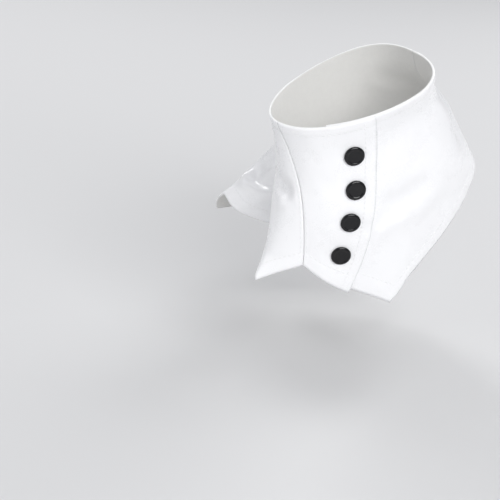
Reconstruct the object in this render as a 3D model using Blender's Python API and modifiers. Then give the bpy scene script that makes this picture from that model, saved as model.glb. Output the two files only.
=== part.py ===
"""A pair of spats in the form they take when worn: the left one on a raised heel, the right one flat.

Each spat is shaped in its own foot frame, in millimetres: x runs forward from the back of the heel,
y runs outwards to the buttoned side, z runs up from the ground. Two foot empties turn and place the frames.
A point of the cloth is named by its angle round the leg (0 centre back, 90 outer side, 180 centre front,
270 inner side) and by how far down it lies (0 at the top hem, 1 at the lowest section). Both spats are cut
alike, and the right one sits turned a little on the leg: its cut angles and its form angles differ by that.
"""
import math

import bpy
import numpy as np
from mathutils import Matrix, Vector

MM = 0.001

# Cloth and seams, mm
WALL = 1.2
SEAM_GAP = 0.3
LAP_LIFT = WALL + 0.35
UNDERLAP = 0.42          # reach of the back panel under the lap, as a share of the front panel's width
LAP_HOLDS = 0.55         # share of the front panel that stays lifted over the underlap

# Stance: how each foot frame is turned, and where its ball stands on the floor, mm
HEEL_TO_BALL = 205.0
LEFT_HEEL_RAISE = 35.0   # degrees
TOE_OUT = 11.3           # degrees, each foot
RIGHT_FOOT_ASIDE = 128.5
RIGHT_FOOT_AHEAD = 52.0
ANKLE = (60.0, 0.0, 145.0)   # centre of the ankle section, where the spat is held when worn
SPAT_TURN = {"left": 0.0, "right": -25.0}   # how far each spat has turned on its leg, degrees

# Sections of the worn spat from the top hem down, one row each, mm
SECTION_COLUMNS = ("back_x", "back_z", "front_x", "front_z", "widest_x", "outer", "inner",
                   "square_back", "square_front", "side_dip")
SECTIONS = (
    (8.5, 150.5, 104.5, 176.0, 46.5, 41.5, 38.0, 2.5, 1.9, 2.0),
    (10.5, 134.5, 110.0, 158.0, 51.0, 37.5, 37.0, 2.4, 2.0, 2.5),
    (6.0, 113.5, 118.5, 138.5, 56.5, 37.5, 37.0, 2.3, 2.1, 1.0),
    (5.0, 86.0, 132.0, 122.0, 65.5, 40.5, 37.5, 2.2, 2.0, 4.5),
    (2.5, 57.0, 150.0, 104.0, 82.0, 41.5, 39.0, 1.9, 1.6, 11.0),
    (2.5, 29.0, 177.0, 82.0, 104.5, 42.5, 40.0, 1.6, 1.25, 20.0),
)

# Seams that run down the spat: their angle at the top, halfway and at the lowest section, degrees
PLACKET_ANGLES = (109.5, 111.0, 128.0)
FRONT_SEAM_ANGLES = (177.5, 158.0, 144.5)

# Hems: how far down each edge reaches
BACK_HEM = 0.831
BACK_CORNER_ACROSS = 0.812
BACK_CORNER = 1.0
BACK_HEM_HOLLOW = -0.106
BACK_AT_PLACKET = 0.927
UNDERLAP_HEM_RISE = 0.16
FRONT_CORNER = 0.938
NOTCH = 0.829
FRONT_HEM_BOW = 0.011
# Inner panel hem, from the front seam over the tongue's tip to the back seam: share of the way, how far down
TONGUE_TIP_ACROSS = 0.147
INNER_HEM = ((TONGUE_TIP_ACROSS, 0.912), (0.27, 0.821), (0.39, 0.827), (0.51, 0.778), (0.64, 0.840),
             (0.76, 0.885), (0.88, 0.872), (1.0, BACK_HEM))

# Folds worked into the cloth: angle and reach down at the start, middle and end of the fold, then mm
FOLD_COLUMNS = ("start", "middle", "end", "half_width", "height")
FOLDS = {
    "left": (
        ((113, 0.640), (95, 0.590), (70, 0.640), 6.5, -2.4),
        ((108, 0.700), (92, 0.665), (74, 0.700), 8.0, 0.9),
        ((194, 0.410), (180, 0.440), (164, 0.450), 6.0, -2.4),
        ((26, 0.120), (32, 0.400), (44, 0.680), 9.0, -1.3),
        ((222, 0.600), (250, 0.560), (284, 0.640), 7.5, -2.1),
        ((292, 0.300), (316, 0.400), (340, 0.620), 8.0, -1.5),
    ),
    "right": (
        ((181, 0.570), (188, 0.695), (222, 0.605), 4.0, 2.2),
        ((188, 0.500), (196, 0.600), (224, 0.510), 8.0, -3.2),
        ((188, 0.560), (197, 0.650), (222, 0.560), 4.5, -2.4),
        ((232, 0.560), (262, 0.600), (296, 0.520), 8.0, -1.9),
        ((85, 0.560), (69, 0.610), (44, 0.590), 7.0, -1.8),
        ((162, 0.480), (150, 0.450), (140, 0.500), 6.0, -1.4),
        ((8, 0.200), (14, 0.440), (22, 0.660), 9.0, -1.4),
        ((326, 0.150), (312, 0.330), (300, 0.460), 8.0, -1.2),
    ),
}
FOLD_STEPS = 12          # stretches that a fold's curved line is measured in
FOLD_FADE = 1 / 3        # share of a fold's length over which each end dies away
MM_PER_DEGREE = 0.85     # cloth length of one degree round the ankle
MM_PER_DOWN = 115.0      # cloth length from the top hem to the lowest section
TIP_FLARE = {"left": 2.8, "right": 0.2}   # how far the tongue's tip stands off the instep, mm
FLARE_FROM = 0.80
FLARE_SPREAD = 14.0      # degrees

# Press-snap caps, mm, and where they sit: share across the front panel from the placket, how far down
CAP_RADIUS = 6.25
CAP_HEIGHT = 2.3
CAP_RIM_RADIUS = 4.75    # where the rolled rim is highest
CAP_DISH = 0.2
CAP_DISH_RADIUS = 4.0
CAP_SHOULDER = ((5.5, 2.15), (6.0, 1.70), (CAP_RADIUS, 1.00))   # the rim's rounding: radius, height
CAP_SKIRT = 0.5          # how far the side draws in towards the cloth
CAP_CLEARANCE = 0.3
CAP_STEPS = 24
CAP_PLACES = ((0.386, 0.780), (0.313, 0.619), (0.249, 0.461), (0.237, 0.248))

# Cells of the cloth's net
CELLS_DOWN = 18
BACK_CELLS = 19
FRONT_CELLS = 11
INNER_CELLS = 38

# Short steps round (degrees) and down (shares) that give the direction of the form's surface
NORMAL_TURN = 1.5
NORMAL_DROP = 0.01
SEAM_STEP = 0.02         # degrees

WHITE_LEATHERETTE = ("white_leatherette", (0.90, 0.90, 0.91), 0.22)
BLACK_CAP = ("black_gloss_cap", (0.012, 0.012, 0.014), 0.12)


def section(down):
    """The named sizes of the section at a given reach down, on a smooth curve through the table's rows."""
    rows = np.array(SECTIONS)
    last = len(rows) - 1
    place = min(max(down, 0.0), 1.0) * last
    lower = min(int(place), last - 1)
    f = place - lower
    before, start = rows[max(lower - 1, 0)], rows[lower]
    end, after = rows[lower + 1], rows[min(lower + 2, last)]
    lead_in = (end - before) / 2 if lower > 0 else end - start
    lead_out = (after - start) / 2 if lower + 2 <= last else end - start
    values = ((2 * f ** 3 - 3 * f ** 2 + 1) * start + (f ** 3 - 2 * f ** 2 + f) * lead_in
              + (3 * f ** 2 - 2 * f ** 3) * end + (f ** 3 - f ** 2) * lead_out)
    return dict(zip(SECTION_COLUMNS, values))


def plain_point(angle, down):
    """A point of the smooth form: a squared oval round the leg, slanted from heel to instep."""
    s = section(down)
    along, aside = math.cos(math.radians(angle)), math.sin(math.radians(angle))
    squareness = s["square_back"] if along > 0 else s["square_front"]
    reach = s["widest_x"] - s["back_x"] if along > 0 else s["front_x"] - s["widest_x"]
    width = s["outer"] if aside > 0 else s["inner"]
    x = s["widest_x"] - reach * math.copysign(abs(along) ** (2 / squareness), along)
    y = width * math.copysign(abs(aside) ** (2 / squareness), aside)
    rise = (s["front_z"] - s["back_z"]) * (x - s["back_x"]) / (s["front_x"] - s["back_x"])
    return Vector((x, y, s["back_z"] + rise - s["side_dip"] * aside ** 2))


def outward(angle, down):
    """Unit normal of the smooth form, from short steps round and down."""
    upper, lower = max(down - NORMAL_DROP, 0.0), min(down + NORMAL_DROP, 1.0)
    round_step = plain_point(angle + NORMAL_TURN, down) - plain_point(angle - NORMAL_TURN, down)
    down_step = plain_point(angle, lower) - plain_point(angle, upper)
    return round_step.cross(down_step).normalized()


def smooth(value):
    """Eases from 0 to 1 as the value goes from 0 to 1."""
    value = min(max(value, 0.0), 1.0)
    return value * value * (3 - 2 * value)


def on_cloth(angle, down):
    """Angle and reach down as cloth lengths from the centre back and the top hem, mm."""
    return Vector((angle * MM_PER_DEGREE, down * MM_PER_DOWN))


def fold_height(side, angle, down):
    """How far the folds lift or sink the cloth here, mm."""
    height = 0.0
    here = on_cloth(angle % 360, down)
    for row in FOLDS[side]:
        fold = dict(zip(FOLD_COLUMNS, row))
        start, middle, end = (on_cloth(*fold[name]) for name in ("start", "middle", "end"))
        line = []
        for k in range(FOLD_STEPS + 1):
            f = k / FOLD_STEPS
            line.append(start * (1 - f) * (1 - 2 * f) + middle * 4 * f * (1 - f) + end * f * (2 * f - 1))
        nearest = min(range(FOLD_STEPS + 1), key=lambda k: (line[k] - here).length)
        away = (line[nearest] - here).length
        along = nearest / FOLD_STEPS
        fade = smooth(along / FOLD_FADE) * smooth((1 - along) / FOLD_FADE)
        height += fold["height"] * fade * math.exp(-(away / fold["half_width"]) ** 2)
    return height


def tip_lift(side, angle, down):
    """The tongue's tip stands a little away from the instep, mm."""
    reach = smooth((down - FLARE_FROM) / (1 - FLARE_FROM))
    return 2 * TIP_FLARE[side] * reach * math.exp(-((angle - 180) / FLARE_SPREAD) ** 2)


def cloth_point(side, angle, down, lift=0.0):
    """A point of the inner face of the cloth, moved out by its folds and by lift."""
    form_angle = angle + SPAT_TURN[side]
    out = lift + fold_height(side, form_angle, down) + tip_lift(side, angle, down)
    return plain_point(form_angle, down) + outward(form_angle, down) * out


def seam_angle(angles, down):
    """Angle of a seam at a given reach down, on a parabola through its three angles."""
    top, half, low = angles
    return top + (4 * half - 3 * top - low) * down + (2 * top - 4 * half + 2 * low) * down ** 2


def beside(side, angle, down, length):
    """The angle that lies a short cloth length round from another; a negative length goes back."""
    start = plain_point(angle + SPAT_TURN[side], down)
    turned = angle
    while (plain_point(turned + SPAT_TURN[side], down) - start).length < abs(length):
        turned += math.copysign(SEAM_STEP, length)
    return turned


def hem_through(knots, across):
    """Smooth hem through (share across, reach down) knots."""
    last = len(knots) - 1
    for k in range(last):
        (a0, d0), (a1, d1) = knots[k], knots[k + 1]
        if across <= a1:
            before, after = knots[max(k - 1, 0)], knots[min(k + 2, last)]
            slope0 = (d1 - before[1]) / (a1 - before[0])
            slope1 = (after[1] - d0) / (after[0] - a0)
            f, width = (across - a0) / (a1 - a0), a1 - a0
            return ((2 * f ** 3 - 3 * f ** 2 + 1) * d0 + (f ** 3 - 2 * f ** 2 + f) * width * slope0
                    + (3 * f ** 2 - 2 * f ** 3) * d1 + (f ** 3 - f ** 2) * width * slope1)
    return knots[-1][1]


def back_panel_spot(side, across, along):
    """Angle, reach down and lift on the outer back panel; past 1 across it runs on under the lap."""
    if across < BACK_CORNER_ACROSS:
        f = across / BACK_CORNER_ACROSS
        hem = BACK_HEM + (BACK_CORNER - BACK_HEM) * f + BACK_HEM_HOLLOW * 4 * f * (1 - f)
    elif across <= 1:
        f = (across - BACK_CORNER_ACROSS) / (1 - BACK_CORNER_ACROSS)
        hem = BACK_CORNER + (BACK_AT_PLACKET - BACK_CORNER) * f
    else:
        hem = BACK_AT_PLACKET - UNDERLAP_HEM_RISE * (across - 1)
    down = hem * along
    placket = seam_angle(PLACKET_ANGLES, down)
    angle = across * placket
    if across > 1:
        angle = placket + (seam_angle(FRONT_SEAM_ANGLES, down) - placket) * (across - 1)
    if across == 0:
        angle = beside(side, 0.0, down, SEAM_GAP / 2)
    return angle, down, 0.0


def front_panel_spot(side, across, along):
    """Angle, reach down and lift on the outer front panel, from the placket to the front seam."""
    hem = FRONT_CORNER + (NOTCH - FRONT_CORNER) * across + FRONT_HEM_BOW * 4 * across * (1 - across)
    down = hem * along
    placket, front = seam_angle(PLACKET_ANGLES, down), seam_angle(FRONT_SEAM_ANGLES, down)
    angle = placket + (front - placket) * across
    if across == 1:
        angle = beside(side, front, down, -SEAM_GAP / 2)
    lift = LAP_LIFT * (1 - smooth((across - LAP_HOLDS) / (1 - LAP_HOLDS)))
    return angle, down, lift


def inner_panel_spot(side, across, along):
    """Angle, reach down and lift on the inner panel, from the front seam round the inner side to the back."""
    if across <= TONGUE_TIP_ACROSS:
        hem = NOTCH + (INNER_HEM[0][1] - NOTCH) * across / TONGUE_TIP_ACROSS
    else:
        hem = hem_through(INNER_HEM, across)
    down = hem * along
    front = seam_angle(FRONT_SEAM_ANGLES, down)
    angle = front + (360 - front) * across
    if across == 0:
        angle = beside(side, front, down, SEAM_GAP / 2)
    if across == 1:
        angle = beside(side, 360.0, down, -SEAM_GAP / 2)
    return angle, down, 0.0


def shares(stops, cells):
    """Even shares across a panel in which every stop falls on a share."""
    values = [stops[0]]
    for start, end in zip(stops, stops[1:]):
        count = max(1, round(cells * (end - start) / (stops[-1] - stops[0])))
        values += [start + (end - start) * (k + 1) / count for k in range(count)]
    return values


def mirror_for(side):
    """The right spat is the left one's mirror image in the foot frame."""
    return Matrix.Diagonal((1, 1 if side == "left" else -1, 1))


def make_material(name, colour, roughness):
    """A plain Principled material."""
    material = bpy.data.materials.new(name)
    material.use_nodes = True
    shader = material.node_tree.nodes["Principled BSDF"]
    shader.inputs["Base Color"].default_value = (*colour, 1.0)
    shader.inputs["Roughness"].default_value = roughness
    shader.inputs["Metallic"].default_value = 0.0
    return material


def make_panel(name, side, spot, across, collection, foot):
    """A panel of cloth: a net of points on the worn form, thickened outwards by the wall."""
    points, faces = [], []
    for share in across:
        for row in range(CELLS_DOWN + 1):
            angle, down, lift = spot(side, share, row / CELLS_DOWN)
            points.append(mirror_for(side) @ cloth_point(side, angle, down, lift) * MM)
    column = CELLS_DOWN + 1
    for i in range(len(across) - 1):
        for j in range(CELLS_DOWN):
            first = i * column + j
            face = (first, first + 1, first + column + 1, first + column)
            faces.append(face[::-1] if side == "left" else face)
    mesh = bpy.data.meshes.new(name)
    mesh.from_pydata(points, [], faces)
    mesh.shade_smooth()
    panel = bpy.data.objects.new(name, mesh)
    collection.objects.link(panel)
    panel.parent = foot
    wall = panel.modifiers.new("wall", "SOLIDIFY")
    wall.thickness = WALL * MM
    wall.offset = 1.0
    wall.use_even_offset = True
    wall.use_quality_normals = True
    panel.data.materials.append(make_material(name + "_" + WHITE_LEATHERETTE[0], *WHITE_LEATHERETTE[1:]))


def make_cap(name, side, place, collection, foot):
    """A turned press-snap cap with a rolled rim and a dished top, seated on the front panel."""
    dish = CAP_HEIGHT - CAP_DISH
    profile = ((0.0, dish), (CAP_DISH_RADIUS, dish), (CAP_RIM_RADIUS, CAP_HEIGHT), *CAP_SHOULDER,
               (CAP_RADIUS - CAP_SKIRT, 0.0), (0.0, 0.0))
    mesh = bpy.data.meshes.new(name)
    points = [(r * MM, 0.0, z * MM) for r, z in profile]
    mesh.from_pydata(points, [(k, k + 1) for k in range(len(points) - 1)], [])
    cap = bpy.data.objects.new(name, mesh)
    collection.objects.link(cap)
    turn = cap.modifiers.new("turn", "SCREW")
    turn.axis = "Z"
    turn.angle = math.tau
    turn.steps = CAP_STEPS
    turn.render_steps = CAP_STEPS
    turn.use_merge_vertices = True
    turn.merge_threshold = 0.00001
    turn.use_smooth_shade = True
    across, down = place
    placket, front = seam_angle(PLACKET_ANGLES, down), seam_angle(FRONT_SEAM_ANGLES, down)
    angle = placket + (front - placket) * across
    axis = outward(angle + SPAT_TURN[side], down)
    seat = cloth_point(side, angle, down, LAP_LIFT + WALL + CAP_CLEARANCE)
    cap.rotation_euler = (mirror_for(side) @ axis).to_track_quat("Z", "Y").to_euler()
    cap.location = mirror_for(side) @ seat * MM
    cap.parent = foot
    cap.data.materials.append(make_material(name + "_" + BLACK_CAP[0], *BLACK_CAP[1:]))


def make_feet(collection):
    """The two empties that carry the foot frames; the world origin is the left ankle."""
    turns = {
        "left": Matrix.Rotation(math.radians(TOE_OUT - 90), 3, "Z")
        @ Matrix.Rotation(math.radians(LEFT_HEEL_RAISE), 3, "Y"),
        "right": Matrix.Rotation(math.radians(-TOE_OUT - 90), 3, "Z"),
    }
    ball = Vector((HEEL_TO_BALL, 0, 0))
    left_ball = turns["left"] @ (ball - Vector(ANKLE))
    balls = {"left": left_ball, "right": left_ball + Vector((-RIGHT_FOOT_ASIDE, -RIGHT_FOOT_AHEAD, 0))}
    feet = {}
    for side, turn in turns.items():
        foot = bpy.data.objects.new(side + "_foot", None)
        foot.rotation_euler = turn.to_euler()
        foot.location = (balls[side] - turn @ ball) * MM
        collection.objects.link(foot)
        feet[side] = foot
    return feet


def make_spat(side, collection, foot):
    """One spat: the inner panel with the tongue, the two outer panels and the row of caps."""
    panels = (
        ("inner_panel", inner_panel_spot, (0.0, TONGUE_TIP_ACROSS, 1.0), INNER_CELLS),
        ("outer_back_panel", back_panel_spot, (0.0, BACK_CORNER_ACROSS, 1.0, 1.0 + UNDERLAP), BACK_CELLS),
        ("outer_front_panel", front_panel_spot, (0.0, 1.0), FRONT_CELLS),
    )
    for name, spot, stops, cells in panels:
        make_panel(f"{side}_{name}", side, spot, shares(stops, cells), collection, foot)
    for number, place in enumerate(CAP_PLACES, start=1):
        make_cap(f"{side}_button_{number}", side, place, collection, foot)


def main():
    for old in list(bpy.data.objects):
        bpy.data.objects.remove(old, do_unlink=True)
    collection = bpy.data.collections.new("pair_of_spats")
    bpy.context.scene.collection.children.link(collection)
    for side, foot in make_feet(collection).items():
        make_spat(side, collection, foot)
    bpy.context.view_layer.update()


main()
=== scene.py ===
"""Looks of a pair of glossy white leatherette spats with black press-snaps, in their worn form."""

import math

import bmesh
import bpy
import numpy as np
from mathutils import Matrix, Vector


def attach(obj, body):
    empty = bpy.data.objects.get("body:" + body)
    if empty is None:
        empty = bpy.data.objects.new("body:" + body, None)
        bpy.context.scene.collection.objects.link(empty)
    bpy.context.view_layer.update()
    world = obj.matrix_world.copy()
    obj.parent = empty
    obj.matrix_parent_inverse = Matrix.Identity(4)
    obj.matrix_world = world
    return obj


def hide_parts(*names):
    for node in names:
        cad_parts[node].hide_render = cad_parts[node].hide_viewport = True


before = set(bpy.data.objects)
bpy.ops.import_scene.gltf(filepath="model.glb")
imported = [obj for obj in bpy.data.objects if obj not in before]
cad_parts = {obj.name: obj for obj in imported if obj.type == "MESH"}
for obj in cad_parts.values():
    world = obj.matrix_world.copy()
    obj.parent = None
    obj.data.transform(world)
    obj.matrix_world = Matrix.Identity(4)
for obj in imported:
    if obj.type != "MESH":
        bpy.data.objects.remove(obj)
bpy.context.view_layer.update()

MM = 0.001

# Camera at the photograph's angle: the frame is 500 by 500, the aim point is in the frame's middle
CAMERA_AZIMUTH = 67.55
CAMERA_ELEVATION = 25.28
CAMERA_ROLL = 5.45
CAMERA_DISTANCE = 0.800
CAMERA_AIM = (-0.0413, -0.0405, -0.1093)
CAMERA_LENS = 87.85
SENSOR = 36.0

# Stance, mm and degrees, as the solids have it
HEEL_TO_BALL = 205.0
LEFT_HEEL_RAISE = 35.0
TOE_OUT = 11.3
RIGHT_FOOT_ASIDE = 128.5
RIGHT_FOOT_AHEAD = 52.0
ANKLE = (60.0, 0.0, 145.0)
SPAT_TURN = {"left": 0.0, "right": -25.0}

# Cloth, mm
WALL = 1.2
THINNEST = 0.3           # cloth left where creases and grooves meet
SEAM_GAP = 0.3
LAP_LIFT = WALL + 0.35
UNDERLAP = 0.42
LAP_HOLDS = 0.55
CELL = 1.25              # spacing of the sheets' points

# Sections of the worn spat from the top hem down, mm
SECTION_COLUMNS = ("back_x", "back_z", "front_x", "front_z", "widest_x", "outer", "inner",
                   "square_back", "square_front", "side_dip")
SECTIONS = np.array((
    (8.5, 150.5, 104.5, 176.0, 46.5, 41.5, 38.0, 2.5, 1.9, 2.0),
    (10.5, 134.5, 110.0, 158.0, 51.0, 37.5, 37.0, 2.4, 2.0, 2.5),
    (6.0, 113.5, 118.5, 138.5, 56.5, 37.5, 37.0, 2.3, 2.1, 1.0),
    (5.0, 86.0, 132.0, 122.0, 65.5, 40.5, 37.5, 2.2, 2.0, 4.5),
    (2.5, 57.0, 150.0, 104.0, 82.0, 41.5, 39.0, 1.9, 1.6, 11.0),
    (2.5, 29.0, 177.0, 82.0, 104.5, 42.5, 40.0, 1.6, 1.25, 20.0),
))
PLACKET_ANGLES = (109.5, 111.0, 128.0)
FRONT_SEAM_ANGLES = (177.5, 158.0, 144.5)

# Hems: how far down each edge reaches
BACK_HEM = 0.831
BACK_CORNER_ACROSS = 0.812
BACK_CORNER = 1.0
BACK_HEM_HOLLOW = -0.106
BACK_AT_PLACKET = 0.927
UNDERLAP_HEM_RISE = 0.16
FRONT_CORNER = 0.938
NOTCH = 0.829
FRONT_HEM_BOW = 0.011
TONGUE_TIP_ACROSS = 0.147
INNER_HEM = ((TONGUE_TIP_ACROSS, 0.912), (0.27, 0.821), (0.39, 0.827), (0.51, 0.778), (0.64, 0.840),
             (0.76, 0.885), (0.88, 0.872), (1.0, BACK_HEM))

# Folds: angle and reach down at the start, middle and end, then half width and height in mm
FOLDS = {
    "left": (
        ((113, 0.640), (95, 0.590), (70, 0.640), 6.5, -2.4),
        ((108, 0.700), (92, 0.665), (74, 0.700), 8.0, 0.9),
        ((194, 0.410), (180, 0.440), (164, 0.450), 6.0, -2.4),
        ((26, 0.120), (32, 0.400), (44, 0.680), 9.0, -1.3),
        ((222, 0.600), (250, 0.560), (284, 0.640), 7.5, -2.1),
        ((292, 0.300), (316, 0.400), (340, 0.620), 8.0, -1.5),
    ),
    "right": (
        ((181, 0.570), (188, 0.695), (222, 0.605), 4.0, 2.2),
        ((188, 0.500), (196, 0.600), (224, 0.510), 8.0, -3.2),
        ((188, 0.560), (197, 0.650), (222, 0.560), 4.5, -2.4),
        ((232, 0.560), (262, 0.600), (296, 0.520), 8.0, -1.9),
        ((85, 0.560), (69, 0.610), (44, 0.590), 7.0, -1.8),
        ((162, 0.480), (150, 0.450), (140, 0.500), 6.0, -1.4),
        ((8, 0.200), (14, 0.440), (22, 0.660), 9.0, -1.4),
        ((326, 0.150), (312, 0.330), (300, 0.460), 8.0, -1.2),
    ),
}
# Slighter creases that only the outer face shows
CREASES = {
    "left": (
        ((128, 0.700), (104, 0.638), (84, 0.602), 3.2, -0.85),
        ((122, 0.750), (104, 0.688), (80, 0.650), 3.6, 0.65),
        ((100, 0.500), (84, 0.470), (66, 0.520), 5.0, -0.20),
        ((92, 0.760), (78, 0.720), (62, 0.740), 4.2, -0.40),
        ((84, 0.140), (67, 0.440), (46, 0.720), 6.5, 0.80),
        ((186, 0.530), (176, 0.545), (164, 0.520), 3.6, 0.50),
        ((197, 0.468), (187, 0.472), (176, 0.466), 1.7, -0.80),
        ((196, 0.455), (190, 0.420), (185, 0.375), 1.6, -0.75),
        ((193, 0.505), (184, 0.505), (172, 0.498), 2.2, 0.55),
        ((190, 0.330), (178, 0.350), (168, 0.330), 3.2, 0.40),
        ((186, 0.720), (180, 0.780), (176, 0.850), 4.0, -0.35),
        ((152, 0.300), (142, 0.380), (138, 0.480), 4.0, -0.30),
        ((205, 0.330), (232, 0.300), (262, 0.380), 4.5, -0.60),
        ((240, 0.720), (262, 0.690), (292, 0.760), 4.5, -0.50),
        ((300, 0.560), (318, 0.640), (332, 0.740), 4.0, 0.45),
        ((8, 0.620), (14, 0.690), (24, 0.740), 3.0, -0.35),
    ),
    "right": (
        ((181, 0.570), (188, 0.690), (222, 0.600), 1.7, 0.80),
        ((184, 0.480), (200, 0.500), (222, 0.450), 4.0, -0.55),
        ((200, 0.780), (214, 0.750), (232, 0.700), 3.6, 0.50),
        ((226, 0.400), (244, 0.440), (268, 0.400), 4.4, -0.60),
        ((270, 0.660), (290, 0.700), (318, 0.680), 4.4, -0.50),
        ((76, 0.460), (58, 0.500), (40, 0.470), 3.8, -0.45),
        ((78, 0.700), (60, 0.740), (44, 0.700), 4.2, 0.40),
        ((166, 0.620), (158, 0.600), (150, 0.640), 3.4, 0.40),
        ((30, 0.240), (26, 0.380), (28, 0.520), 4.6, 0.40),
        ((334, 0.460), (342, 0.580), (350, 0.700), 4.0, -0.35),
    ),
}
MM_PER_DEGREE = 0.85
MM_PER_DOWN = 115.0
TIP_FLARE = {"left": 2.8, "right": 0.2}
FLARE_FROM = 0.80
FLARE_SPREAD = 14.0

# Sewing, mm
HEM_BAND = 7.0           # turned hem, stitched at its inner edge
PLACKET_BAND = 6.0
SEAM_BAND = 2.0
BAND_RISE = 0.22
BAND_OVER = 1.0          # how far a turned band runs on past its stitches
BAND_STEP = 1.2          # width over which it drops to the plain cloth
STITCH_LENGTH = 2.5
STITCH_PITCH = 3.2
STITCH_WIDTH = 0.5
STITCH_HEIGHT = 0.34
STITCH_TAPER = 0.75      # how much slimmer a stitch is towards its ends
STITCH_LIFT = 0.06
STITCH_DIP = 0.34        # how far its ends go down into the cloth
STITCH_GROOVE = 0.20
GROOVE_WIDTH = 0.8
EDGE_ROLL = 0.30
EDGE_ROLL_WIDTH = 0.9

# Press-snap caps, mm
CAP_RADIUS = 6.1
CAP_HEIGHT = 2.0
CAP_WALL = 0.95
CAP_ROLL = 1.6           # how far the rolled rim comes in from the wall
CAP_ROLL_STEPS = 6
CAP_FOOT = 5.8           # radius at the cloth
CAP_DENT = 0.32          # how far the cloth is drawn in round the cap
CAP_DENT_RADIUS = 8.6
PUCKERS = 7              # small waves in the cloth round a cap
PUCKER_HEIGHT = 0.05
PUCKER_RADIUS = 9.0
PUCKER_WIDTH = 3.0
CAP_SINK = 0.35          # how far the cap's foot goes below the face before it was drawn in
CAP_SIDES = 64
# The shallow dish with its low crown: radius, and depth below the rim
CAP_DISH = ((4.35, 0.10), (4.05, 0.27), (3.75, 0.32), (2.90, 0.27), (1.90, 0.20), (0.90, 0.16))
CAP_PLACES = ((0.386, 0.780), (0.313, 0.619), (0.249, 0.461), (0.237, 0.248))

# Studio: floor and world in metres, lamps by azimuth, elevation, width, height and watts
FLOOR_SIZE = 6.0
WORLD_STRENGTH = 0.32
LIT_POINT = (-0.04, 0.0, -0.06)
LAMP_DISTANCE = 1.5
SOFT_BOXES = (
    ("key", 88, 32, 1.0, 0.6, 15.2),
    ("front", 0, 16, 1.5, 1.2, 6),
    ("left", -80, 38, 0.5, 1.0, 8),
    ("back", 205, 28, 1.0, 0.8, 8),
    ("top", 120, 72, 0.9, 0.4, 3),
)


# The worn form

def section(down):
    """The named sizes at each reach down, on a smooth curve through the table's rows."""
    last = len(SECTIONS) - 1
    place = np.clip(down, 0.0, 1.0) * last
    lower = np.minimum(place.astype(int), last - 1)
    f = (place - lower)[..., None]
    start, end = SECTIONS[lower], SECTIONS[lower + 1]
    before, after = SECTIONS[np.maximum(lower - 1, 0)], SECTIONS[np.minimum(lower + 2, last)]
    lead_in = np.where((lower > 0)[..., None], (end - before) / 2, end - start)
    lead_out = np.where((lower + 2 <= last)[..., None], (after - start) / 2, end - start)
    values = ((2 * f ** 3 - 3 * f ** 2 + 1) * start + (f ** 3 - 2 * f ** 2 + f) * lead_in
              + (3 * f ** 2 - 2 * f ** 3) * end + (f ** 3 - f ** 2) * lead_out)
    return {name: values[..., k] for k, name in enumerate(SECTION_COLUMNS)}


def plain_points(angle, down):
    """Points of the smooth form, mm in the foot frame."""
    s = section(down)
    along, aside = np.cos(np.radians(angle)), np.sin(np.radians(angle))
    squareness = np.where(along > 0, s["square_back"], s["square_front"])
    reach = np.where(along > 0, s["widest_x"] - s["back_x"], s["front_x"] - s["widest_x"])
    width = np.where(aside > 0, s["outer"], s["inner"])
    x = s["widest_x"] - reach * np.sign(along) * np.abs(along) ** (2 / squareness)
    y = width * np.sign(aside) * np.abs(aside) ** (2 / squareness)
    rise = (s["front_z"] - s["back_z"]) * (x - s["back_x"]) / (s["front_x"] - s["back_x"])
    return np.stack([x, y, s["back_z"] + rise - s["side_dip"] * aside ** 2], -1)


def outward(angle, down):
    """Unit normals of the smooth form."""
    turn, drop = 1.5, 0.01
    upper, lower = np.maximum(down - drop, 0.0), np.minimum(down + drop, 1.0)
    round_step = plain_points(angle + turn, down) - plain_points(angle - turn, down)
    down_step = plain_points(angle, lower) - plain_points(angle, upper)
    normal = np.cross(round_step, down_step)
    return normal / np.linalg.norm(normal, axis=-1, keepdims=True)


def smooth(value):
    """Eases from 0 to 1."""
    value = np.clip(value, 0.0, 1.0)
    return value * value * (3 - 2 * value)


def fold_height(folds, angle, down):
    """Height of a table of folds at each point, mm."""
    u, v = (angle % 360) * MM_PER_DEGREE, down * MM_PER_DOWN
    height = np.zeros(np.broadcast(u, v).shape)
    steps = 12
    for start, middle, end, half_width, lift in folds:
        f = np.linspace(0, 1, steps + 1)
        weights = np.stack([(1 - f) * (1 - 2 * f), 4 * f * (1 - f), f * (2 * f - 1)], -1)
        line = weights @ np.array((start, middle, end)) * (MM_PER_DEGREE, MM_PER_DOWN)
        away = np.full(height.shape, np.inf)
        place = np.zeros(height.shape)
        for k in range(steps):
            run = line[k + 1] - line[k]
            share = np.clip(((u - line[k][0]) * run[0] + (v - line[k][1]) * run[1]) / (run @ run), 0, 1)
            gap = np.hypot(u - line[k][0] - share * run[0], v - line[k][1] - share * run[1])
            nearer = gap < away
            away = np.where(nearer, gap, away)
            place = np.where(nearer, (k + share) / steps, place)
        height += lift * smooth(3 * place) * smooth(3 * (1 - place)) * np.exp(-(away / half_width) ** 2)
    return height


def tip_lift(side, angle, down):
    """The tongue's tip stands a little away from the instep, mm."""
    reach = smooth((down - FLARE_FROM) / (1 - FLARE_FROM))
    return 2 * TIP_FLARE[side] * reach * np.exp(-((angle - 180) / FLARE_SPREAD) ** 2)


def waviness(side, angle, down):
    """Slow unevenness of the coated cloth, which breaks up its reflections, mm."""
    shift = 0.0 if side == "left" else 2.1
    u, v = np.radians(angle), down
    return (0.16 * np.sin(5 * u + 7 * v + shift) * np.sin(9 * v + 1.3 + shift)
            + 0.10 * np.sin(11 * u - 13 * v + 0.7 + shift)
            + 0.06 * np.sin(17 * u + 21 * v + 2.9 * shift))


def seam_angle(angles, down):
    """Angle of a seam at each reach down."""
    top, half, low = angles
    return top + (4 * half - 3 * top - low) * down + (2 * top - 4 * half + 2 * low) * down ** 2


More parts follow.
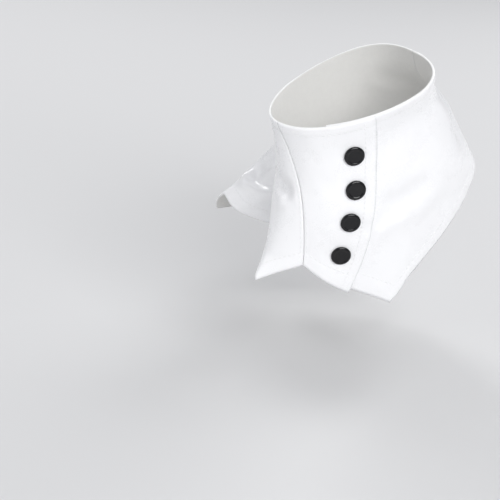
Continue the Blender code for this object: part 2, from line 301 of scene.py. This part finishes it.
def hem_through(knots, across):
    """Smooth hem through (share across, reach down) knots."""
    places, values = np.array(knots).T
    slopes = np.gradient(values, places)
    slopes[1:-1] = (values[2:] - values[:-2]) / (places[2:] - places[:-2])
    slopes[0] = (values[1] - values[0]) / (places[1] - places[0])
    slopes[-1] = (values[-1] - values[-2]) / (places[-1] - places[-2])
    k = np.clip(np.searchsorted(places, across, side="right") - 1, 0, len(places) - 2)
    width = places[k + 1] - places[k]
    f = np.clip((across - places[k]) / width, 0, 1)
    return ((2 * f ** 3 - 3 * f ** 2 + 1) * values[k] + (f ** 3 - 2 * f ** 2 + f) * width * slopes[k]
            + (3 * f ** 2 - 2 * f ** 3) * values[k + 1] + (f ** 3 - f ** 2) * width * slopes[k + 1])


def seam_step(angle, down):
    """Degrees round the leg that take up half a seam's gap."""
    step = 0.4
    reach = np.linalg.norm(plain_points(angle + step, down) - plain_points(angle - step, down), axis=-1)
    return SEAM_GAP / 2 * 2 * step / reach


class Panel:
    """A cut piece of one spat: shares across and reaches down name its points."""

    def __init__(self, side):
        self.side = side
        self.turn = SPAT_TURN[side]

    def cut_angle(self, across, down):
        """Angle round the leg before the spat was turned."""
        raise NotImplementedError

    def hem(self, across):
        """How far down the lower edge is."""
        raise NotImplementedError

    def lift(self, across):
        """How far the panel stands off the form where it laps over another."""
        return 0.0 * across

    def shown(self, across):
        """1 where the cloth is seen, 0 where it lies under the lap and stays plain."""
        return 1 + 0.0 * across


class BackPanel(Panel):
    """The outer back panel: from the back seam to the placket, and on under the lap."""
    name = "outer_back_panel"
    stops = (0.0, BACK_CORNER_ACROSS, 1.0, 1.0 + UNDERLAP)
    flat = (0.155, 0.135)
    flat_area = 0.0134
    bands = (("hem", HEM_BAND, True), ("top", HEM_BAND, True), ("first", SEAM_BAND, False))

    def hem(self, across):
        f = across / BACK_CORNER_ACROSS
        rear = BACK_HEM + (BACK_CORNER - BACK_HEM) * f + BACK_HEM_HOLLOW * 4 * f * (1 - f)
        g = (across - BACK_CORNER_ACROSS) / (1 - BACK_CORNER_ACROSS)
        short = BACK_CORNER + (BACK_AT_PLACKET - BACK_CORNER) * g
        under = BACK_AT_PLACKET - UNDERLAP_HEM_RISE * (across - 1)
        return np.where(across < BACK_CORNER_ACROSS, rear, np.where(across <= 1, short, under))

    def cut_angle(self, across, down):
        placket, front = seam_angle(PLACKET_ANGLES, down), seam_angle(FRONT_SEAM_ANGLES, down)
        plain = np.where(across > 1, placket + (front - placket) * (across - 1), across * placket)
        return np.where(across <= 0, seam_step(self.turn + 0.1, down), plain)

    def shown(self, across):
        return 1 - smooth((across - 0.95) / 0.05)


class FrontPanel(Panel):
    """The outer front panel: from the placket, which laps over, to the front seam."""
    name = "outer_front_panel"
    stops = (0.0, 1.0)
    flat = (0.062, 0.125)
    flat_area = 0.0052
    bands = (("hem", HEM_BAND, True), ("top", HEM_BAND, True), ("first", PLACKET_BAND, True),
             ("last", SEAM_BAND, False))

    def hem(self, across):
        return FRONT_CORNER + (NOTCH - FRONT_CORNER) * across + FRONT_HEM_BOW * 4 * across * (1 - across)

    def cut_angle(self, across, down):
        placket, front = seam_angle(PLACKET_ANGLES, down), seam_angle(FRONT_SEAM_ANGLES, down)
        plain = placket + (front - placket) * across
        return np.where(across >= 1, front - seam_step(front + self.turn, down), plain)

    def lift(self, across):
        return LAP_LIFT * (1 - smooth((across - LAP_HOLDS) / (1 - LAP_HOLDS)))


class InnerPanel(Panel):
    """The inner panel, cut in one with the tongue: from the front seam by the inner side to the back seam."""
    name = "inner_panel"
    stops = (0.0, TONGUE_TIP_ACROSS, 1.0)
    flat = (0.215, 0.140)
    flat_area = 0.0185
    bands = (("hem", HEM_BAND, True), ("top", HEM_BAND, True), ("first", SEAM_BAND, False),
             ("last", SEAM_BAND, False))

    def hem(self, across):
        tongue = NOTCH + (INNER_HEM[0][1] - NOTCH) * across / TONGUE_TIP_ACROSS
        return np.where(across <= TONGUE_TIP_ACROSS, tongue, hem_through(INNER_HEM, across))

    def cut_angle(self, across, down):
        front = seam_angle(FRONT_SEAM_ANGLES, down)
        plain = front + (360 - front) * across
        first = front + seam_step(front + self.turn, down)
        last = 360 - seam_step(self.turn - 0.1, down)
        return np.where(across <= 0, first, np.where(across >= 1, last, plain))


def foot_matrices():
    """Foot frame to world, metres: the world origin is the left ankle."""
    turns = {
        "left": Matrix.Rotation(math.radians(TOE_OUT - 90), 3, "Z")
        @ Matrix.Rotation(math.radians(LEFT_HEEL_RAISE), 3, "Y"),
        "right": Matrix.Rotation(math.radians(-TOE_OUT - 90), 3, "Z"),
    }
    ball = Vector((HEEL_TO_BALL, 0, 0))
    left_ball = turns["left"] @ (ball - Vector(ANKLE))
    balls = {"left": left_ball, "right": left_ball + Vector((-RIGHT_FOOT_ASIDE, -RIGHT_FOOT_AHEAD, 0))}
    mirror = {"left": Matrix.Identity(3), "right": Matrix.Diagonal((1, -1, 1))}
    return {side: (np.array(turn @ mirror[side]), np.array(balls[side] - turn @ ball))
            for side, turn in turns.items()}


FEET = foot_matrices()


def to_world(side, points):
    """Foot-frame millimetres to world metres."""
    turn, place = FEET[side]
    return (points @ turn.T + place) * MM


def directions_to_world(side, directions):
    turn, _ = FEET[side]
    return directions @ turn.T


# Cloth

def shares(stops, count):
    """Even shares across a panel in which every stop falls on a share."""
    values = [stops[0]]
    for start, end in zip(stops, stops[1:]):
        cells = max(2, round(count * (end - start) / (stops[-1] - stops[0])))
        values += [start + (end - start) * (k + 1) / cells for k in range(cells)]
    return np.array(values)


def width_at(panel, down):
    """Cloth length across the panel at a reach down, mm."""
    across = np.linspace(panel.stops[0], panel.stops[-1], 60)
    level = np.full_like(across, down)
    points = plain_points(panel.cut_angle(across, level) + panel.turn, level)
    return np.linalg.norm(np.diff(points, axis=0), axis=1).sum()


def edge_distances(panel, across, down):
    """Cloth lengths from the panel's first edge, last edge, top hem and lower hem, mm."""
    span = panel.stops[-1] - panel.stops[0]
    levels = np.linspace(0, 1, 11)
    widths = np.interp(down, levels, [width_at(panel, level) for level in levels])
    first = (across - panel.stops[0]) / span * widths
    return {"first": first, "last": widths - first, "top": down * MM_PER_DOWN,
            "hem": (panel.hem(across) - down) * MM_PER_DOWN}


def sewn_relief(panel, distances):
    """Turned bands stand proud, stitch lines sink, edges roll off, mm."""
    relief = np.zeros(distances["hem"].shape)
    band = np.zeros_like(relief)
    for edge, width, turned in panel.bands:
        away = distances[edge]
        if turned:
            band = np.maximum(band, smooth((width + BAND_OVER - away) / BAND_STEP))
        relief -= STITCH_GROOVE * np.exp(-((away - width) / GROOVE_WIDTH) ** 2)
    relief += BAND_RISE * band
    nearest = np.minimum.reduce(list(distances.values()))
    inside = np.clip(nearest / EDGE_ROLL_WIDTH, 0, 1)
    return relief - EDGE_ROLL * (1 - np.sqrt(1 - (1 - inside) ** 2))


def cap_dents(panel, form_angle, down):
    """The cloth is drawn in round each press-snap, mm."""
    dent = np.zeros(np.broadcast(form_angle, down).shape)
    if panel.name != "outer_front_panel":
        return dent
    here = plain_points(form_angle, down)
    across, downs = np.array(CAP_PLACES).T
    centres = plain_points(panel.cut_angle(across, downs) + panel.turn, downs)
    for k, centre in enumerate(centres):
        apart = here - centre
        radius = np.linalg.norm(apart, axis=-1)
        turn = np.arctan2(apart[..., 2], apart[..., 0])
        fade = np.exp(-((radius - PUCKER_RADIUS) / PUCKER_WIDTH) ** 2)
        pucker = PUCKER_HEIGHT * np.sin(PUCKERS * turn + k) * fade
        dent += pucker - CAP_DENT * np.exp(-(radius / CAP_DENT_RADIUS) ** 4)
    return dent


def cloth_faces(panel, across, down):
    """Places of the cloth's inner and outer face, mm in the foot frame, and the form's normals."""
    angle = panel.cut_angle(across, down)
    form_angle = angle + panel.turn
    base, normal = plain_points(form_angle, down), outward(form_angle, down)
    inner = (panel.lift(across) + fold_height(FOLDS[panel.side], form_angle, down)
             + tip_lift(panel.side, angle, down))
    fine = (waviness(panel.side, form_angle, down) + fold_height(CREASES[panel.side], form_angle, down)
            + cap_dents(panel, form_angle, down))
    relief = panel.shown(across) * fine + sewn_relief(panel, edge_distances(panel, across, down))
    outer = inner + np.maximum(WALL + relief, THINNEST)
    return base + normal * inner[..., None], base + normal * outer[..., None], normal


def cloth_sheet(panel):
    """A panel as a thin closed shell: outer face, inner face and the cut edge between them."""
    side = panel.side
    across = shares(panel.stops, int(width_at(panel, 0.7) / CELL))
    rows = int(MM_PER_DOWN * 0.95 / CELL)
    along = np.linspace(0, 1, rows + 1)
    a = np.repeat(across[:, None], rows + 1, axis=1)
    d = panel.hem(across)[:, None] * along[None, :]
    inner, outer, _ = cloth_faces(panel, a, d)
    outer_points = to_world(side, outer.reshape(-1, 3))
    inner_points = to_world(side, inner.reshape(-1, 3))
    columns, count = len(across), rows + 1
    total = columns * count
    index = np.arange(total).reshape(columns, count)
    quads = np.stack([index[:-1, :-1], index[1:, :-1], index[1:, 1:], index[:-1, 1:]], -1).reshape(-1, 4)
    rim = np.concatenate([index[:, 0], index[-1, 1:], index[::-1, -1][1:], index[0, ::-1][1:-1]])
    after = np.roll(rim, -1)
    edge = np.stack([rim, rim + total, after + total, after], -1)
    faces = np.concatenate([quads, quads[:, ::-1] + total, edge])
    if side == "right":
        faces = faces[:, ::-1]
    mesh = bpy.data.meshes.new(f"{side}_{panel.name}_cloth")
    mesh.from_pydata(np.concatenate([outer_points, inner_points]).tolist(), [], faces.tolist())
    widths = (a - panel.stops[0]) / (panel.stops[-1] - panel.stops[0]) * width_at(panel, 0.5)
    flat_place = np.stack([widths, d * MM_PER_DOWN], -1).reshape(-1, 2) / 10
    flat_place = np.concatenate([flat_place, flat_place])
    loops = np.empty(len(mesh.loops), dtype=np.int64)
    mesh.loops.foreach_get("vertex_index", loops)
    mesh.uv_layers.new(name="cloth_cm").data.foreach_set("uv", flat_place[loops].ravel())
    mesh.polygons.foreach_set("material_index",
                              np.repeat([0, 1, 2], [len(quads), len(quads), len(edge)]).astype(np.int32))
    sheet = bpy.data.objects.new(f"{side}_{panel.name}_cloth", mesh)
    bpy.context.scene.collection.objects.link(sheet)
    mesh.shade_smooth()
    return sheet


# Sewing

def stitch_model():
    """One stitch of thread along +X on the XY plane, its ends dipping into the cloth."""
    bpy.ops.object.select_all(action="DESELECT")
    bpy.ops.mesh.primitive_cylinder_add(vertices=6, radius=STITCH_WIDTH / 2, depth=STITCH_LENGTH,
                                        rotation=(0, math.pi / 2, 0))
    stitch = bpy.context.object
    bpy.ops.object.transform_apply(location=True, rotation=True, scale=True)
    bpy.ops.object.mode_set(mode="EDIT")
    mesh = bmesh.from_edit_mesh(stitch.data)
    for cut in (-0.36, -0.18, 0.0, 0.18, 0.36):
        bpy.ops.mesh.select_all(action="SELECT")
        bpy.ops.mesh.bisect(plane_co=(cut * STITCH_LENGTH, 0, 0), plane_no=(1, 0, 0))
    mesh = bmesh.from_edit_mesh(stitch.data)
    for vertex in mesh.verts:
        share = abs(vertex.co.x) / (STITCH_LENGTH / 2)
        slim = math.sqrt(max(0.0, 1 - STITCH_TAPER * share ** 4))
        vertex.co.y *= slim
        vertex.co.z *= slim * STITCH_HEIGHT / STITCH_WIDTH
        vertex.co.z += STITCH_LIFT - STITCH_DIP * share ** 3
    bmesh.update_edit_mesh(stitch.data)
    bpy.ops.object.mode_set(mode="OBJECT")
    points = np.array([v.co[:] for v in stitch.data.vertices])
    faces = [tuple(p.vertices) for p in stitch.data.polygons]
    bpy.data.objects.remove(stitch, do_unlink=True)
    return points, faces


STITCH = stitch_model()


def line_inside(panel, edge, distance):
    """Shares across and reaches down of a line that runs at a distance inside one edge of a panel."""
    if edge in ("hem", "top"):
        across = shares(panel.stops, 240)
        reach = distance / MM_PER_DOWN
        down = panel.hem(across) - reach if edge == "hem" else 0 * across + reach
        return across, down
    down = np.linspace(0.01, 0.99, 90)
    span = panel.stops[-1] - panel.stops[0]
    widths = np.array([width_at(panel, level) for level in down])
    share = distance / widths * span
    across = panel.stops[0] + share if edge == "first" else panel.stops[-1] - share
    keep = down < panel.hem(across) - 0.012
    return across[keep], down[keep]


def stitch_row(panel, edge, distance):
    """Places of the stitches of one line: centre, direction along and normal, in world metres."""
    across, down = line_inside(panel, edge, distance)
    _, points, normals = cloth_faces(panel, across, down)
    steps = np.linalg.norm(np.diff(points, axis=0), axis=1)
    run = np.concatenate([[0], np.cumsum(steps)])
    places = np.arange(STITCH_PITCH * 0.8, run[-1] - STITCH_PITCH * 0.8, STITCH_PITCH)

    def at(values, where):
        return np.stack([np.interp(where, run, values[:, k]) for k in range(3)], -1)

    centre = at(points, places)
    ahead = at(points, places + 0.6) - at(points, places - 0.6)
    normal = at(normals, places)
    keep = np.ones(len(places), bool)
    if panel.name == "outer_back_panel" and edge in ("hem", "top"):
        keep = np.interp(places, run, across) < 0.985
    return (to_world(panel.side, centre)[keep], directions_to_world(panel.side, ahead)[keep],
            directions_to_world(panel.side, normal)[keep])


def stitch_rows(panel):
    """All the stitches of a panel as one joined mesh."""
    rows = [stitch_row(panel, edge, distance) for edge, distance, _ in panel.bands]
    centre, ahead, normal = (np.concatenate([row[k] for row in rows]) for k in range(3))
    x = ahead / np.linalg.norm(ahead, axis=1, keepdims=True)
    z = normal - x * (normal * x).sum(1, keepdims=True)
    z /= np.linalg.norm(z, axis=1, keepdims=True)
    y = np.cross(z, x)
    points, faces = STITCH
    placed = (centre[:, None] + points[None, :, :1] * MM * x[:, None] + points[None, :, 1:2] * MM * y[:, None]
              + points[None, :, 2:] * MM * z[:, None]).reshape(-1, 3)
    all_faces = [tuple(v + k * len(points) for v in face) for k in range(len(centre)) for face in faces]
    mesh = bpy.data.meshes.new(f"{panel.side}_{panel.name}_stitching")
    mesh.from_pydata(placed.tolist(), [], all_faces)
    mesh.shade_smooth()
    rows_object = bpy.data.objects.new(mesh.name, mesh)
    bpy.context.scene.collection.objects.link(rows_object)
    return rows_object


# Press-snaps

def pick_faces(mesh, test):
    """Selects the faces of an edit-mode mesh that pass a test, and nothing else."""
    for face in mesh.faces:
        face.select_set(False)
    for face in mesh.faces:
        if test(face):
            face.select_set(True)


def snap_cap(name):
    """A press-snap cap at the origin, facing +Z: drawn-in foot, rolled rim, shallow dish, low crown."""
    bpy.ops.object.select_all(action="DESELECT")
    bpy.ops.mesh.primitive_cylinder_add(vertices=CAP_SIDES, radius=CAP_RADIUS * MM, depth=CAP_WALL * MM,
                                        location=(0, 0, CAP_WALL / 2 * MM))
    cap = bpy.context.object
    cap.name = name
    bpy.ops.object.transform_apply(location=True, rotation=True, scale=True)
    bpy.ops.object.mode_set(mode="EDIT")
    mesh = bmesh.from_edit_mesh(cap.data)
    pick_faces(mesh, lambda f: f.normal.z > 0.9)
    radius, height = CAP_RADIUS, CAP_WALL
    roll = [math.radians(90 * k / CAP_ROLL_STEPS) for k in range(1, CAP_ROLL_STEPS + 1)]
    rise = CAP_HEIGHT - CAP_WALL
    rim = [(CAP_RADIUS - CAP_ROLL * (1 - math.cos(t)), CAP_WALL + rise * math.sin(t)) for t in roll]
    dish = [(dish_radius, CAP_HEIGHT - depth) for dish_radius, depth in CAP_DISH]
    for next_radius, next_height in rim + dish:
        bpy.ops.mesh.inset(thickness=(radius - next_radius) * MM, depth=(next_height - height) * MM)
        radius, height = next_radius, next_height
    mesh = bmesh.from_edit_mesh(cap.data)
    for vertex in mesh.verts:
        if vertex.co.z < 0.0001:
            vertex.co.x *= CAP_FOOT / CAP_RADIUS
            vertex.co.y *= CAP_FOOT / CAP_RADIUS
    bmesh.update_edit_mesh(cap.data)
    bpy.ops.object.mode_set(mode="OBJECT")
    bpy.ops.object.shade_smooth_by_angle(angle=math.radians(60))
    return cap


def place_cap(cap, side, number):
    """Moves a cap's points to its seat on the front panel."""
    across, down = np.array(CAP_PLACES[number - 1:number]).T
    _, points, normals = cloth_faces(FrontPanel(side), across, down)
    place = Vector(to_world(side, points + normals * (CAP_DENT - CAP_SINK))[0])
    axis = Vector(directions_to_world(side, normals)[0])
    turn = axis.to_track_quat("Z", "Y").to_matrix().to_4x4()
    cap.data.transform(Matrix.Translation(place) @ turn)
    cap.data.update()


# Materials

class Value:
    """A shader socket with arithmetic: an expression on values adds its Math nodes."""

    def __init__(self, tree, socket):
        self.tree, self.socket = tree, socket

    def math(self, operation, other=None):
        node = self.tree.nodes.new("ShaderNodeMath")
        node.operation = operation
        for place, value in enumerate((self, other)):
            if isinstance(value, Value):
                self.tree.links.new(value.socket, node.inputs[place])
            elif value is not None:
                node.inputs[place].default_value = value
        return Value(self.tree, node.outputs[0])

    def reflected(self, operation, other):
        node = self.tree.nodes.new("ShaderNodeMath")
        node.operation = operation
        node.inputs[0].default_value = other
        self.tree.links.new(self.socket, node.inputs[1])
        return Value(self.tree, node.outputs[0])

    def __add__(self, other):
        return self.math("ADD", other)

    def __radd__(self, other):
        return self.reflected("ADD", other)

    def __sub__(self, other):
        return self.math("SUBTRACT", other)

    def __rsub__(self, other):
        return self.reflected("SUBTRACT", other)

    def __mul__(self, other):
        return self.math("MULTIPLY", other)

    def __rmul__(self, other):
        return self.reflected("MULTIPLY", other)

    def __truediv__(self, other):
        return self.math("DIVIDE", other)

    def __pow__(self, other):
        return self.math("POWER", other)


class Finish:
    """A material under construction: its node tree, its shader and one method for any other node."""

    def __init__(self, name):
        self.material = bpy.data.materials.new(name)
        self.material.use_nodes = True
        self.tree = self.material.node_tree
        self.shader = self.tree.nodes["Principled BSDF"]

    def node(self, kind, settings=(), output=0, **inputs):
        """Any node: settings first, then values or links of its sockets by name."""
        node = self.tree.nodes.new(kind)
        for key, value in dict(settings).items():
            setattr(node, key, value)
        for key, value in inputs.items():
            socket = node.inputs[int(key[1:])] if key[0] == "_" else node.inputs[key.replace("_", " ")]
            if isinstance(value, Value):
                self.tree.links.new(value.socket, socket)
            else:
                socket.default_value = value
        return Value(self.tree, node.outputs[output])

    def set(self, **values):
        for key, value in values.items():
            socket = self.shader.inputs[key.replace("_", " ")]
            if isinstance(value, Value):
                self.tree.links.new(value.socket, socket)
            else:
                socket.default_value = value

    def object_place(self):
        return self.node("ShaderNodeTexCoord", output=3)

    def cloth_place(self):
        return self.node("ShaderNodeUVMap", {"uv_map": "cloth_cm"})

    def noise(self, place, scale, detail=2.0, roughness=0.5):
        return self.node("ShaderNodeTexNoise", Vector=place, Scale=scale, Detail=detail, Roughness=roughness)

    def mix(self, share, first, second):
        return self.node("ShaderNodeMix", {"data_type": "RGBA"}, output=2, _0=share, _6=first, _7=second)

    def bump(self, height, distance, strength=1.0):
        return self.node("ShaderNodeBump", Height=height, Distance=distance, Strength=strength)


def white_leatherette():
    """Glossy coated face: fine pebbled grain, uneven gloss, a cloudy trace of cool grey that varies at
    random.
    """
    finish = Finish("white_leatherette")
    place = finish.object_place()
    grain = finish.node("ShaderNodeTexVoronoi", {"feature": "SMOOTH_F1"}, Vector=place, Scale=1500.0,
                        Smoothness=0.6)
    pores = finish.noise(place, 2600.0, 3.0, 0.6)
    soft = finish.noise(place, 60.0, 3.0, 0.55)
    cloudy = finish.noise(place, 22.0, 4.0, 0.6)
    height = grain * 0.6 + pores * 0.25 + soft * 1.2
    finish.set(
        Base_Color=finish.mix(cloudy * 0.35, (0.90, 0.90, 0.91, 1), (0.84, 0.845, 0.865, 1)),
        Roughness=0.20 + soft * 0.12 + grain * 0.05,
        Specular_IOR_Level=0.5,
        Coat_Weight=0.35,
        Coat_Roughness=0.07,
        Normal=finish.bump(height, 0.00009, 0.5),
    )
    return finish.material


def woven_backing():
    """Inner face: a plain woven cotton backing, threads in both directions half a millimetre apart."""
    finish = Finish("woven_backing")
    place = finish.cloth_place()
    split = finish.node("ShaderNodeSeparateXYZ", Vector=place)
    across = Value(finish.tree, split.socket.node.outputs[0])
    along = Value(finish.tree, split.socket.node.outputs[1])
    threads = 2 * math.pi * 20
    warp = (across * threads).math("SINE")
    weft = (along * threads).math("SINE")
    height = (warp * weft) * 0.5 + 0.5
    uneven = finish.noise(finish.object_place(), 300.0, 3.0)
    finish.set(
        Base_Color=finish.mix(height * 0.5 + uneven * 0.3, (0.70, 0.695, 0.675, 1), (0.84, 0.835, 0.815, 1)),
        Roughness=0.86,
        Specular_IOR_Level=0.25,
        Sheen_Weight=0.15,
        Normal=finish.bump(height + uneven * 0.4, 0.00016, 0.7),
    )
    return finish.material


def cut_edge():
    """The cut through coating and backing."""
    finish = Finish("cut_edge")
    fibres = finish.noise(finish.object_place(), 900.0, 3.0, 0.65)
    finish.set(
        Base_Color=finish.mix(fibres, (0.80, 0.80, 0.80, 1), (0.90, 0.90, 0.90, 1)),
        Roughness=0.55,
        Normal=finish.bump(fibres, 0.00012, 0.6),
    )
    return finish.material


def white_thread():
    """Twisted polyester thread."""
    finish = Finish("white_thread")
    fibres = finish.noise(finish.object_place(), 3500.0, 2.0)
    finish.set(
        Base_Color=finish.mix(fibres, (0.74, 0.745, 0.76, 1), (0.90, 0.90, 0.90, 1)),
        Roughness=0.5,
        Sheen_Weight=0.2,
        Normal=finish.bump(fibres, 0.0001, 0.6),
    )
    return finish.material


def black_enamel():
    """Glossy black caps with faint handling marks in the gloss."""
    finish = Finish("black_enamel")
    place = finish.object_place()
    marks = finish.noise(place, 420.0, 5.0, 0.65)
    finish.set(
        Base_Color=finish.mix(marks, (0.004, 0.004, 0.005, 1), (0.009, 0.009, 0.010, 1)),
        Roughness=0.10 + marks * 0.10,
        Specular_IOR_Level=0.36,
        Normal=finish.bump(marks, 0.00002, 0.4),
    )
    return finish.material


def pale_floor():
    """A smooth pale floor."""
    finish = Finish("studio_floor")
    finish.set(Base_Color=(0.64, 0.64, 0.645, 1), Roughness=0.8, Specular_IOR_Level=0.1)
    return finish.material


# The stage

def make_stage():
    """Floor at the level that the stance is measured from, and a pale studio light all round."""
    floor_level = float((FEET["right"][1][2]) * MM)
    bpy.ops.object.select_all(action="DESELECT")
    bpy.ops.mesh.primitive_plane_add(size=FLOOR_SIZE, location=(0, 0, floor_level))
    floor = bpy.context.object
    floor.name = "floor"
    floor.data.materials.append(pale_floor())
    world = bpy.data.worlds.new("studio")
    bpy.context.scene.world = world
    bpy.context.scene.view_settings.view_transform = "Standard"
    world.use_nodes = True
    background = world.node_tree.nodes["Background"]
    background.inputs["Color"].default_value = (0.93, 0.95, 1.0, 1)
    background.inputs["Strength"].default_value = WORLD_STRENGTH


def soft_box(name, azimuth, elevation, width, height, power):
    """A large lamp that faces the spats from an azimuth and elevation in degrees."""
    turn, rise = math.radians(azimuth), math.radians(elevation)
    away = Vector((math.sin(turn) * math.cos(rise), -math.cos(turn) * math.cos(rise), math.sin(rise)))
    data = bpy.data.lights.new(name, "AREA")
    data.shape = "RECTANGLE"
    data.size, data.size_y = width, height
    data.energy = power
    lamp = bpy.data.objects.new(name, data)
    lamp.location = Vector(LIT_POINT) + away * LAMP_DISTANCE
    lamp.rotation_euler = away.to_track_quat("Z", "Y").to_euler()
    lamp.visible_camera = False
    bpy.context.scene.collection.objects.link(lamp)


def make_lights():
    for name, azimuth, elevation, width, height, power in SOFT_BOXES:
        soft_box(name, azimuth, elevation, width, height, power)


def make_camera():
    """Looks at the aim point from the photograph's azimuth and elevation, turned by its roll."""
    azimuth, elevation = math.radians(CAMERA_AZIMUTH), math.radians(CAMERA_ELEVATION)
    back = Vector((math.sin(azimuth) * math.cos(elevation), -math.cos(azimuth) * math.cos(elevation),
                   math.sin(elevation)))
    right = Vector((0, 0, 1)).cross(back).normalized()
    up = back.cross(right)
    roll = math.radians(CAMERA_ROLL)
    turned_right = right * math.cos(roll) + up * math.sin(roll)
    turned_up = up * math.cos(roll) - right * math.sin(roll)
    data = bpy.data.cameras.new("camera")
    data.lens = CAMERA_LENS
    data.sensor_width = SENSOR
    data.clip_start, data.clip_end = 0.05, 20
    camera = bpy.data.objects.new("camera", data)
    axes = Matrix((turned_right, turned_up, back)).transposed()
    camera.matrix_world = Matrix.Translation(Vector(CAMERA_AIM) + back * CAMERA_DISTANCE) @ axes.to_4x4()
    bpy.context.scene.collection.objects.link(camera)
    bpy.context.scene.camera = camera


def make_spat(side, finishes):
    """One spat: three sheets of cloth, their stitching and four snaps."""
    for panel in (InnerPanel(side), FrontPanel(side), BackPanel(side)):
        sheet = cloth_sheet(panel)
        for finish in ("leatherette", "backing", "edge"):
            sheet.data.materials.append(finishes[finish])
        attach(sheet, "root")
        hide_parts(f"{side}_{panel.name}")
        rows = stitch_rows(panel)
        rows.data.materials.append(finishes["thread"])
        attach(rows, "root")
    for number in range(1, len(CAP_PLACES) + 1):
        cap = snap_cap(f"{side}_cap_{number}")
        place_cap(cap, side, number)
        cap.data.materials.append(finishes["enamel"])
        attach(cap, "root")
        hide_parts(f"{side}_button_{number}")


make_camera()
make_stage()
make_lights()
FINISHES = {"leatherette": white_leatherette(), "backing": woven_backing(), "edge": cut_edge(),
            "thread": white_thread(), "enamel": black_enamel()}
for spat_side in ("left", "right"):
    make_spat(spat_side, FINISHES)
